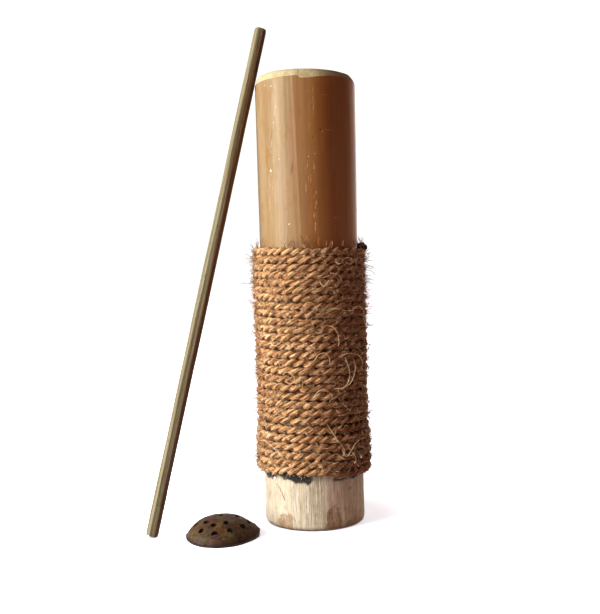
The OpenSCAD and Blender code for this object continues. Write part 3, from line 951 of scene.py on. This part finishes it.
def make_strand(which):
    """One strand of the rope as a swept tube, roughened by its fibres, with its lay stored for the material."""
    run = STRANDS[which]
    sides = STRAND_SIDES
    piece = swept("rope_strand_" + "ab"[which], [run], sides, COIR, capped=False)
    mesh = piece.data
    count = len(mesh.vertices)
    rings = len(run)
    place = np.empty(count * 3, dtype=np.float32)
    mesh.vertices.foreach_get("co", place)
    place = place.reshape(rings, sides, 3).astype(float)
    middle = np.array([tuple(point) for point, _ in run])[:, None, :]
    radius = np.array([r for _, r in run])[:, None]
    around = np.arange(sides)[None, :] * math.tau / sides
    length = np.array(LENGTH_AT)[:, None]
    twist = around + length / (5.5 * MM)
    ridges = 0.050 * np.sin(3 * twist + which) + 0.050 * np.sin(5 * twist + 1.7 + length / (31 * MM))
    ridges = ridges + 0.040 * np.sin(7 * twist + 0.6 - length / (23 * MM))
    rough = random.Random(50 + which)
    grit = np.array([rough.uniform(-1, 1) for _ in range(rings * sides)]).reshape(rings, sides)
    bundles = sum(np.roll(grit, k, axis=0) * w for k, w in ((-2, 1), (-1, 2), (0, 3), (1, 2), (2, 1))) / 4.4
    scale = 1 + ridges + 0.12 * bundles + 0.060 * np.roll(grit, 3, axis=1)
    place = middle + (place - middle) * scale[:, :, None]
    mesh.vertices.foreach_set("co", place.astype(np.float32).ravel())
    lay = np.stack([radius * np.cos(twist), radius * np.sin(twist), length + 0 * around], axis=-1)
    attribute(mesh, "lay", "FLOAT_VECTOR", lay)
    axis = np.array([tuple(p) for p, _, _, _ in ROPE_RUN])[:, None, :]
    out = np.array([tuple(o) for _, _, o, _ in ROPE_RUN])[:, None, :]
    attribute(mesh, "proud", "FLOAT", ((place - axis) * out).sum(axis=2) / ROPE_R)
    near_end = np.clip(1 - (LENGTH_AT[-1] - length) / (7 * MM), 0, 1) + 0 * around
    attribute(mesh, "dark_end", "FLOAT", near_end)
    bm = bmesh.new()
    bm.from_mesh(mesh)
    bmesh.ops.holes_fill(bm, edges=[e for e in bm.edges if e.is_boundary], sides=0)
    bm.to_mesh(mesh)
    bm.free()
    return piece


def hair_run(start, heading, curl_axis, curl, length, thick, rng, steps, stray=0.16):
    """A fibre that leaves start along heading and bends round curl_axis by curl radians over its length."""
    run = []
    place = start.copy()
    heading = heading.normalized()
    for i in range(steps + 1):
        share = i / steps
        taper = 0.35 + 0.65 * math.sin(math.pi * min(1.0, 0.25 + 0.75 * share)) ** 0.5 if share < 1 else 0.3
        run.append((place.copy(), thick * taper))
        wobble = Vector((rng.gauss(0, 1), rng.gauss(0, 1), rng.gauss(0, 1))) * stray
        heading = (Matrix.Rotation(curl / steps, 3, curl_axis) @ heading + wobble).normalized()
        place = place + heading * length / steps
        flat = math.hypot(place.x, place.y)
        least = rope_seat(place.z) + 2 * ROPE_R - 0.9 * MM if place.z < ROPE_TOP - 2 * MM else 0.0
        if ROPE_BOTTOM < place.z and flat < least:
            place = Vector((place.x * least / flat, place.y * least / flat, place.z))
    return run


def rope_spot(rng, spread):
    """A random place on the rope's surface, within spread degrees of outward: point, ahead, outward and sideways."""
    point, ahead, out, side = rope_frame(rng.uniform(0.02, TURNS - 0.02))
    tilt = math.radians(rng.uniform(-spread, spread))
    normal = math.cos(tilt) * out + math.sin(tilt) * side
    return point + normal * (ROPE_R - 0.35 * MM), ahead, normal, side


def make_fuzz(name, seed, count, length, thick, lift, curl, spread, steps):
    """Loose fibres all over the rope; length and thickness in millimetres, lift and curl in radians are ranges."""
    rng = random.Random(seed)
    runs = []
    for _ in range(count):
        start, ahead, normal, side = rope_spot(rng, spread)
        way = ahead * rng.choice((-1, 1)) + side * rng.gauss(0, 0.55) + normal * rng.uniform(*lift)
        axis = (normal * rng.gauss(0, 1) + side * rng.gauss(0, 0.6) + ahead * rng.gauss(0, 0.3)).normalized()
        runs.append(hair_run(
            start, way, axis, rng.uniform(*curl) * rng.choice((-1, 1)), rng.uniform(*length) * MM,
            rng.uniform(*thick) * MM, rng, steps))
    return swept(name, runs, 4, HAIR)


def make_lay_fibres(name, which, seed, count):
    """Fibres that lie along one strand and leave it at their ends, which makes the rope hairy."""
    rng = random.Random(seed)
    strand = STRANDS[which]
    runs = []
    for _ in range(count):
        steps = rng.randint(3, 7)
        first = rng.randrange(4, len(strand) - steps - 8)
        turn = math.radians(rng.uniform(-115, 115))
        swing = math.radians(rng.gauss(0, 16))
        lift = rng.uniform(0.2, 1.0) ** 2 * 1.3 * MM
        thick = rng.uniform(0.08, 0.14) * MM
        start_lift = lift if rng.random() < 0.5 else 0.0
        run = []
        for k in range(steps + 1):
            point, radius = strand[first + k]
            _, _, out, side = ROPE_RUN[first + k]
            share = k / steps
            stand = radius * 1.02 + 0.05 * MM + lift * max(0.0, share - 0.55) ** 2 * 4
            stand += start_lift * max(0.0, 0.4 - share) ** 2 * 5
            angle = turn + swing * k
            run.append((
                point + stand * (math.cos(angle) * out + math.sin(angle) * side),
                thick * (0.35 if k in (0, steps) else 1.0)))
        runs.append(run)
    return swept(name, runs, 4, HAIR)


def through(points):
    """A smooth path through points, each given as (bearing, height in mm, stand-off from the rope in mm)."""
    solid = [
        polar(rope_seat(z * MM) + 2 * ROPE_R + 2.2 * off * MM, math.radians(b), z * MM) for b, z, off in points]
    path = []
    for i in range(len(solid) - 1):
        a, b, c, d = (solid[max(0, min(len(solid) - 1, i + k))] for k in (-1, 0, 1, 2))
        for j in range(LEG_STEPS):
            u = j / LEG_STEPS
            path.append(0.5 * ((2 * b) + (c - a) * u + (2 * a - 5 * b + 4 * c - d) * u * u
                               + (3 * b - a - 3 * c + d) * u ** 3))
    path.append(solid[-1])
    return path


CURLS = (       # each a run of bearing, height and stand-off from the rope in millimetres
    ((303, 183.5, 0.2), (306, 185.0, 0.9), (311, 184.2, 1.2), (312, 181.6, 1.2), (309, 180.6, 1.0),
     (306, 181.8, 0.6)),
    ((279, 169.5, 0.1), (280.5, 167.2, 0.9), (282.5, 166.6, 1.0), (286, 168.8, 0.7), (288, 170.4, 0.2)),
    ((297, 118.0, 0.2), (302, 120.6, 1.2), (309, 120.4, 1.7), (317, 118.2, 2.0), (323, 113.0, 1.6),
     (325, 109.0, 0.6)),
    ((292, 97.5, 0.1), (299, 98.0, 1.1), (306, 101.0, 1.8), (311, 107.5, 1.8), (314, 113.0, 1.0),
     (313, 117.0, 0.3)),
    ((304, 117.5, 0.1), (306, 110.0, 1.2), (305.5, 105.0, 1.5), (303, 100.0, 1.2), (298, 96.5, 0.6)),
    ((285, 140.0, 0.2), (290, 139.0, 1.0), (294, 135.0, 1.2), (296, 129.0, 0.9), (296, 126.0, 0.3)),
    ((283, 74.0, 0.1), (287, 68.5, 0.9), (291, 63.0, 1.4), (296, 58.5, 1.2), (298, 55.0, 0.9), (297.5, 51.5, 0.3)),
    ((297, 57.0, 0.1), (297.5, 53.5, 0.9), (300, 51.8, 1.3), (304, 55.5, 1.6), (310, 60.0, 1.5), (323, 62.0, 1.0)),
    ((303, 58.0, 0.2), (307, 53.0, 1.0), (310, 49.0, 1.2), (309, 45.0, 0.5)),
    ((270, 92.0, 0.2), (275, 96.5, 0.8), (281, 97.5, 1.1), (287, 94.0, 0.7), (289, 90.0, 0.2)),
    ((272, 117.0, 0.2), (276, 121.0, 0.9), (282, 122.0, 1.0), (286, 118.5, 0.7), (287, 115.0, 0.2)),
    ((240, 107.0, 0.2), (245, 109.5, 0.8), (251, 108.0, 0.9), (253, 104.0, 0.7), (248, 101.5, 0.4),
     (243, 103.0, 0.1)),
    ((232, 57.0, 0.2), (238, 53.5, 0.8), (243, 49.5, 0.9), (246, 46.0, 0.3)),
    ((208, 60.0, 0.2), (218, 61.5, 0.9), (228, 58.5, 0.8), (236, 53.0, 0.2)),
    ((262, 153.0, 0.1), (267, 156.0, 0.8), (272, 155.0, 0.9), (276, 150.0, 0.2)),
    ((225, 131.0, 0.1), (231, 127.0, 0.9), (238, 128.5, 0.8), (243, 133.0, 0.2)),
    ((252, 75.0, 0.1), (258, 77.5, 0.8), (264, 75.5, 0.9), (268, 71.0, 0.3)),
    ((315, 150.0, 0.1), (322, 152.0, 0.9), (329, 148.0, 1.1), (333, 142.0, 0.4)),
    ((20, 150.0, 0.1), (30, 153.0, 0.9), (41, 148.0, 1.1), (46, 141.0, 0.4)),
    ((75, 90.0, 0.1), (84, 94.0, 0.9), (95, 91.0, 1.2), (101, 84.0, 0.4)),
    ((130, 170.0, 0.1), (137, 164.0, 0.9), (148, 163.0, 1.2), (156, 168.0, 0.4)),
    ((160, 70.0, 0.1), (168, 76.0, 0.9), (178, 77.0, 1.2), (186, 72.0, 0.4)))


def make_curls():
    """The longest loose fibres, which loop over the winding at the places listed."""
    runs = []
    for points in CURLS:
        path = through(points)
        runs.append([(p, (0.20 if 0 < i < len(path) - 1 else 0.06) * MM) for i, p in enumerate(path)])
    return swept("rope_long_curls", runs, 6, PALE_HAIR)


TALL_BRISTLES = (       # bearing and height in millimetres of the tallest fibres above the winding
    (262.6, 8.0), (264.6, 7.2), (265.4, 7.8), (267.6, 6.6), (246.0, 5.6), (278.5, 5.6), (279.5, 5.0),
    (207.0, 5.6), (204.0, 5.0))


def make_top_bristles():
    """Stiff fibres that stand up from the topmost turn against the bamboo."""
    rng = random.Random(88)
    runs = []
    short_bristles = tuple((rng.uniform(0, 360), rng.uniform(1.5, 5.0)) for _ in range(64))
    for bearing, tall in TALL_BRISTLES + short_bristles:
        a = math.radians(bearing)
        foot = polar(bamboo_radius(ROPE_TOP) + rng.uniform(1.6, 4.0) * MM, a, ROPE_TOP - 2.6 * MM)
        heading = Vector((rng.gauss(0, 0.13), rng.gauss(0, 0.13), 1.0))
        runs.append(hair_run(
            foot, heading, polar(1.0, a), rng.gauss(0, 0.3), (tall + 2.2) * MM, rng.uniform(0.12, 0.18) * MM, rng,
            steps=6, stray=0.06))
    return swept("rope_top_bristles", runs, 4, STRAW_HAIR)


def make_end_tuft():
    """The frayed fibres of the rope's upper end, which splay from its two parted strands."""
    rng = random.Random(91)
    runs = []
    for which in (0, 1):
        tip, _ = STRANDS[which][-3]
        _, ahead, out, _ = ROPE_RUN[-1]
        lean = Vector((0, 0, 1)) * (1.0 if which == 0 else -0.1) + out * (0.15 if which == 0 else 1.0) + ahead * 0.5
        for _ in range(70):
            heading = lean + Vector((rng.gauss(0, 1), rng.gauss(0, 1), rng.gauss(0, 1))) * 0.75
            start = tip - lean.normalized() * rng.uniform(0.5, 2.6) * MM
            runs.append(hair_run(
                start, heading, Vector((rng.gauss(0, 1), rng.gauss(0, 1), 0.2)).normalized(), rng.gauss(0, 0.8),
                rng.uniform(1.5, 3.6) * MM, rng.uniform(0.10, 0.17) * MM, rng, steps=5))
    return swept("rope_end_tuft", runs, 4, DARK_HAIR)


def make_foot_fibre():
    """A dark fibre stuck slantwise on the foot's face below the splinter."""
    path = [
        polar(FOOT_R - 0.15 * MM, math.radians(b), z * MM)
        for b, z in ((219.3, 33.0), (222.5, 30.8), (227.3, 27.5), (231.0, 23.6), (234.1, 20.2))]
    return swept("foot_stuck_fibre", [[(p, 0.14 * MM) for p in path]], 6, DARK_HAIR)


# ---- coconut-shell strainer -----------------------------------------------------------------------
BALL_R = (SHELL_R ** 2 + SHELL_H ** 2) / (2 * SHELL_H)      # the dome is a cap of a ball of this radius
BALL_Z = SHELL_H - BALL_R
SHELL_BULGES = (        # how far the outline stands out as a share, the bearing where, and how wide in degrees
    (0.030, -4, 18), (-0.02, -38, 20), (-0.02, 40, 30), (0.055, 262, 34))


def shell_outline(bearing):
    """The shell's outline as a share of its plain radius: pointed on the right, fuller in front, uneven all round."""
    turn = math.degrees(bearing)
    point = sum(share * bell(apart(turn, at) / wide) for share, at, wide in SHELL_BULGES)
    return 1 + point + 0.012 * drift_round(bearing, 0, 41, 6, 1) + 0.006 * drift_round(bearing, 0, 42, 19, 1)


def make_shell():
    """The dished disc, its cut edge worn, with its steam holes bored through."""
    widest = math.asin(SHELL_R / BALL_R)
    outer = [
        (BALL_R * math.sin(widest * i / DOME_ROWS), BALL_Z + BALL_R * math.cos(widest * i / DOME_ROWS))
        for i in range(1, DOME_ROWS)]
    inner_ball = BALL_R - SHELL_T
    inner_widest = math.acos(-BALL_Z / inner_ball)
    inner = [
        (inner_ball * math.sin(inner_widest * i / HOLLOW_ROWS),
         BALL_Z + inner_ball * math.cos(inner_widest * i / HOLLOW_ROWS)) for i in range(HOLLOW_ROWS - 1, 0, -1)]
    edge = [
        (SHELL_R, 0.7 * MM), (SHELL_R - 0.25 * MM, 0.2 * MM), (SHELL_R - 0.9 * MM, 0),
        (inner[0][0] + 1.2 * MM, 0), (inner[0][0] + 0.4 * MM, 0.25 * MM)]
    top = (0, SHELL_H)
    under = (0, BALL_Z + inner_ball)
    bm = turned([top] + outer + edge + inner + [under], SHELL_STEPS, ring=False)
    for vert in bm.verts:
        flat = math.hypot(vert.co.x, vert.co.y)
        bearing = math.atan2(vert.co.y, vert.co.x)
        share = flat / SHELL_R
        spread = 1 + (shell_outline(bearing) - 1) * share ** 3
        lump = 0.22 * MM * noise.noise(vert.co * 120) + 0.10 * MM * noise.noise(vert.co * 420)
        vert.co.x *= spread
        vert.co.y *= spread
        if vert.co.z > 0.5 * MM:
            flank = 1.2 * MM * 4 * share ** 2 * max(0.0, 1 - share ** 2)
            thick_side = bell(apart(math.degrees(bearing), 4) / 30)
            blunt = 0.7 * MM * ease((share - 0.72) / 0.28) * (1 + 3.0 * thick_side)
            vert.co += (vert.co - Vector((0, 0, BALL_Z))).normalized() * lump * (1.0 - 0.4 * share)
            vert.co.z = min(vert.co.z + flank + blunt, SHELL_H - 0.3 * MM)
        if share > 0.9:
            worn = 1 + 1.5 * bell(apart(math.degrees(bearing), 0) / 40)
            vert.co += polar(0.20 * MM * noise.noise(vert.co * 700) * worn, bearing)
    bmesh.ops.translate(bm, verts=bm.verts, vec=SHELL_MID)
    shell = finish_mesh(bm, "coconut_strainer", [SHELL], 40)
    bore_holes(shell)
    middle = SHELL_MID + Vector((0, 0, BALL_Z))
    attribute(shell.data, "inner", "FLOAT", [
        1.0 if (vert.co - middle).length < BALL_R - 0.5 * MM and vert.co.z > 0.3 * MM else 0.0
        for vert in shell.data.vertices])
    return shell


def bore_holes(shell):
    """Bores the steam holes through the dome, each a little out of round and wider outside."""
    cutters = bmesh.new()
    rng = random.Random(17)
    for share, bearing in SHELL_HOLES:
        tilt = math.asin(share * SHELL_R / BALL_R)
        turn = Matrix.Rotation(math.radians(bearing), 4, "Z") @ Matrix.Rotation(tilt, 4, "Y")
        seat = Matrix.Translation(SHELL_MID + Vector((0, 0, BALL_Z))) @ turn @ Matrix.Translation(
            (0, 0, BALL_R - SHELL_T / 2))
        wide = SHELL_HOLE_R * rng.uniform(0.94, 1.12)
        made = bmesh.ops.create_cone(
            cutters, cap_ends=True, segments=HOLE_SIDES, radius1=wide * 0.86, radius2=wide * 1.12,
            depth=3 * SHELL_T)["verts"]
        squash = rng.uniform(-0.08, 0.08)
        for vert in made:
            vert.co.x *= 1 + squash
            vert.co.y *= 1 - squash
        bmesh.ops.transform(cutters, matrix=seat, verts=made)
    cutter = finish_mesh(cutters, "hole_cutter", [SHELL])
    bore = shell.modifiers.new("holes", "BOOLEAN")
    bore.operation = "DIFFERENCE"
    bore.object = cutter
    bore.solver = "EXACT"
    bpy.context.view_layer.update()
    bored = bpy.data.meshes.new_from_object(shell.evaluated_get(bpy.context.evaluated_depsgraph_get()))
    shell.modifiers.remove(bore)
    bpy.data.objects.remove(cutter)
    shell.data = bored
    bm = bmesh.new()
    bm.from_mesh(bored)
    bmesh.ops.triangulate(bm, faces=[f for f in bm.faces if len(f.verts) > 4])
    bmesh.ops.recalc_face_normals(bm, faces=bm.faces)
    for face in bm.faces:
        face.smooth = True
    bm.to_mesh(bored)
    bm.free()
    bored.set_sharp_from_angle(angle=math.radians(34))


# ---- push stick ---------------------------------------------------------------------------------------
def stick_ends():
    """Middles of the stick's two end faces, from the CAD node."""
    mesh = frame["nodes"]["push_stick"].data
    points = [v.co for v in mesh.vertices]
    low = min(p.z for p in points)
    high = max(p.z for p in points)
    ends = []
    for level, sign in ((low, 1), (high, -1)):
        ring = {tuple(round(c, 6) for c in p) for p in points if sign * (p.z - level) < 4 * MM}
        total = sum((Vector(p) for p in ring), Vector())
        ends.append(total / len(ring))
    return ends


def make_stick():
    """Seven whittled faces with soft corners, which waver along the stick, and hand-cut ends."""
    foot, head = stick_ends()
    length = (head - foot).length
    bm = bmesh.new()
    lay_at = bm.verts.layers.float_vector.new("lay")
    skin_at = bm.verts.layers.float.new("skin")
    bmesh.ops.create_circle(
        bm, cap_ends=True, segments=len(STICK_CORNERS) * STICK_FACE_STEPS, radius=STICK_R)
    loop = list(bm.edges)
    corners = [(share, math.radians(turn)) for share, turn in STICK_CORNERS]

    def edge_radius(turn, s):
        """The outline's radius at a bearing: flats between wavering corners, then rounded."""
        best = 2.0
        for k, (share, at) in enumerate(corners):
            after_share, after = corners[(k + 1) % len(corners)]
            if after < at:
                after += math.tau
            a = at + math.radians(5) * drift(s, 60 + k, 90 * MM)
            b = after + math.radians(5) * drift(s, 60 + (k + 1) % len(corners), 90 * MM)
            middle = (a + b) / 2
            deep = (share + after_share) / 2 * math.cos((b - a) / 2)
            deep *= 1 + 0.035 * drift(s, 70 + k, 46 * MM) + 0.012 * drift(s, 80 + k, 11 * MM)
            lean = math.cos(turn - middle)
            if lean > 0.15:
                best = min(best, deep / lean)
        return STICK_R * min(best, 0.985)

    made = [(list(bm.verts), 0.0)]
    for row in range(1, STICK_ROWS + 1):
        grown = bmesh.ops.extrude_edge_only(bm, edges=loop)["geom"]
        verts = [g for g in grown if isinstance(g, bmesh.types.BMVert)]
        loop = [g for g in grown if isinstance(g, bmesh.types.BMEdge) and all(v in verts for v in g.verts)]
        loop = [e for e in loop if len(e.link_faces) == 1]
        made.append((verts, length * row / STICK_ROWS))
    bmesh.ops.contextual_create(bm, geom=loop)
    for verts, s in made:
        from_end = min(s, length - s)
        trim = 1 - 0.07 * bell(from_end / (0.5 * MM))
        for vert in verts:
            turn = math.atan2(vert.co.y, vert.co.x)
            radius = edge_radius(turn, s) * trim
            vert.co = Vector((radius * math.cos(turn), radius * math.sin(turn), s))
            vert[lay_at] = vert.co
            vert[skin_at] = max(bell(apart(math.degrees(turn), at) / wide) for at, wide in STICK_SKIN)
    spine = (head - foot).normalized()
    heading = math.atan2(spine.y, spine.x)
    tilt = math.acos(spine.z)
    turn = Matrix.Rotation(heading, 4, "Z") @ Matrix.Rotation(tilt, 4, "Y")
    bmesh.ops.transform(bm, matrix=Matrix.Translation(foot) @ turn, verts=bm.verts)
    return finish_mesh(bm, "whittled_stick", [STICK], 32)


# ---- stage, lights and camera -----------------------------------------------------------------------
def make_stage():
    """A white floor that glows more the further it lies from the steamer, so only the near shadows show on it."""
    bm = bmesh.new()
    bmesh.ops.create_grid(bm, x_segments=1, y_segments=1, size=6.0)
    material, tree, shader = start_material("pale floor", Roughness=1.0, Specular_IOR_Level=0.0)
    shader.inputs["Base Color"].default_value = FLOOR_WHITE
    shader.inputs["Emission Color"].default_value = FLOOR_LIGHT
    place = object_place(tree)
    away = tree.add("ShaderNodeVectorMath", {0: place}, operation="LENGTH").outputs["Value"]
    glow = tree.span(away, NEAR_BY, FAR_OFF, GLOW_NEAR, GLOW_FAR)
    clear = tree.add("ShaderNodeAmbientOcclusion", {"Distance": CONTACT_SHADE}, samples=8).outputs["AO"]
    tree.plug(shader.inputs["Emission Strength"], tree.maths("MULTIPLY", glow, tree.span(clear, 0.18, 0.50)))
    floor = finish_mesh(bm, "floor", [material])
    floor.visible_diffuse = False


def make_world():
    """Warm even fill light, a bright field behind for the glossy reflections, and plain white for the camera."""
    world = bpy.data.worlds.new("studio")
    bpy.context.scene.world = world
    world.use_nodes = True
    tree = Tree(world.node_tree)
    world.node_tree.nodes.clear()
    rays = tree.add("ShaderNodeLightPath").outputs
    fill = tree.add("ShaderNodeBackground", {"Color": FILL_COLOUR, "Strength": WORLD_FILL})
    heading = tree.axes(tree.add("ShaderNodeTexCoord").outputs["Generated"])
    behind = tree.span(heading[1], 0.30, 0.85, 0.02, WORLD_GLOSS)
    gloss = tree.add("ShaderNodeBackground", {"Color": GLOSS_COLOUR, "Strength": behind})
    white = tree.add("ShaderNodeBackground", {"Color": (1, 1, 1, 1), "Strength": 1.05})
    mixed = tree.add(
        "ShaderNodeMixShader", {0: rays["Is Glossy Ray"], 1: fill.outputs[0], 2: gloss.outputs[0]})
    mixed = tree.add("ShaderNodeMixShader", {0: rays["Is Camera Ray"], 1: mixed.outputs[0], 2: white.outputs[0]})
    sink = tree.add("ShaderNodeOutputWorld")
    tree.tree.links.new(mixed.outputs[0], sink.inputs["Surface"])


def add_softbox(name, bearing, distance, height, size, power, colour=(1, 1, 1)):
    """A soft rectangular light that faces the tube's middle, at a bearing in degrees."""
    place = polar(distance, math.radians(bearing), height)
    light = bpy.data.lights.new(name, "AREA")
    light.shape = "RECTANGLE"
    light.size, light.size_y = size
    light.energy = power
    light.color = colour
    holder = bpy.data.objects.new(name, light)
    holder.location = place
    holder.rotation_euler = (LIGHT_AIM - place).to_track_quat("-Z", "Y").to_euler()
    bpy.context.scene.collection.objects.link(holder)


def make_lights():
    add_softbox("key", bearing=205, distance=1.4, height=0.60, size=(0.8, 1.2), power=42)
    add_softbox("overhead", bearing=200, distance=0.5, height=1.6, size=(1.0, 1.0), power=2)
    add_softbox(
        "behind", bearing=66, distance=1.6, height=0.70, size=(1.1, 1.2), power=15, colour=(1.0, 0.94, 0.88))


def make_camera():
    """Eye level with the middle of the tube, rolled a little so that the tube leans to the left."""
    ahead = Vector((0, math.cos(CAMERA_TILT), -math.sin(CAMERA_TILT)))
    right = Vector((1, 0, 0))
    up = right.cross(ahead)
    right = (math.cos(CAMERA_ROLL) * right - math.sin(CAMERA_ROLL) * up).normalized()
    up = right.cross(ahead)
    data = bpy.data.cameras.new("camera")
    data.sensor_fit = "VERTICAL"
    data.sensor_height = 36
    data.lens = CAMERA_LENS
    camera = bpy.data.objects.new("camera", data)
    turn = Matrix((right, up, -ahead)).transposed().to_4x4()
    camera.matrix_world = Matrix.Translation(CAMERA_PLACE) @ turn
    bpy.context.scene.collection.objects.link(camera)
    bpy.context.scene.camera = camera


def put(piece, body, slot, *nodes):
    """Says which body a piece moves with and which CAD nodes it stands for; the slot argument is not used."""
    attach(piece, body)
    if nodes:
        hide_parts(*nodes)


make_camera()
make_stage()
make_world()
make_lights()
bpy.context.scene.view_settings.view_transform = "Standard"
bpy.context.scene.view_settings.gamma = 0.82

put(make_tube(), "steamer", "bamboo", "bamboo_tube")
put(make_foot(), "steamer", "foot_wood", "wooden_foot")
put(make_chip(), "steamer", "foot_wood")
put(make_strand(0), "steamer", "coir", "coir_rope")
put(make_strand(1), "steamer", "coir")
for which in (0, 1):
    put(make_lay_fibres("rope_lay_fibres_" + "ab"[which], which, 11 + which, 4300), "steamer", "coir")
put(make_fuzz(
    "rope_fuzz", seed=5, count=3000, length=(3, 9), thick=(0.10, 0.17), lift=(0.1, 0.6), curl=(0, 2.2),
    spread=75, steps=6), "steamer", "coir")
put(make_fuzz(
    "rope_stray_fibres", seed=6, count=1000, length=(6, 14), thick=(0.11, 0.17), lift=(0.1, 0.7), curl=(0.6, 4.0),
    spread=60, steps=12), "steamer", "coir")
put(make_fuzz(
    "rope_bristles", seed=7, count=4200, length=(1.2, 3.6), thick=(0.09, 0.15), lift=(0.8, 3.0), curl=(0, 0.9),
    spread=50, steps=4), "steamer", "coir")
put(make_curls(), "steamer", "coir")
put(make_top_bristles(), "steamer", "coir")
put(make_end_tuft(), "steamer", "coir")
put(make_foot_fibre(), "steamer", "coir")
put(make_shell(), "strainer", "coconut_shell", "shell_strainer")
put(make_stick(), "pusher", "stick_wood", "push_stick")
for slot in frame["nodes"]["foot_pegs"].material_slots:
    slot.material = PEG
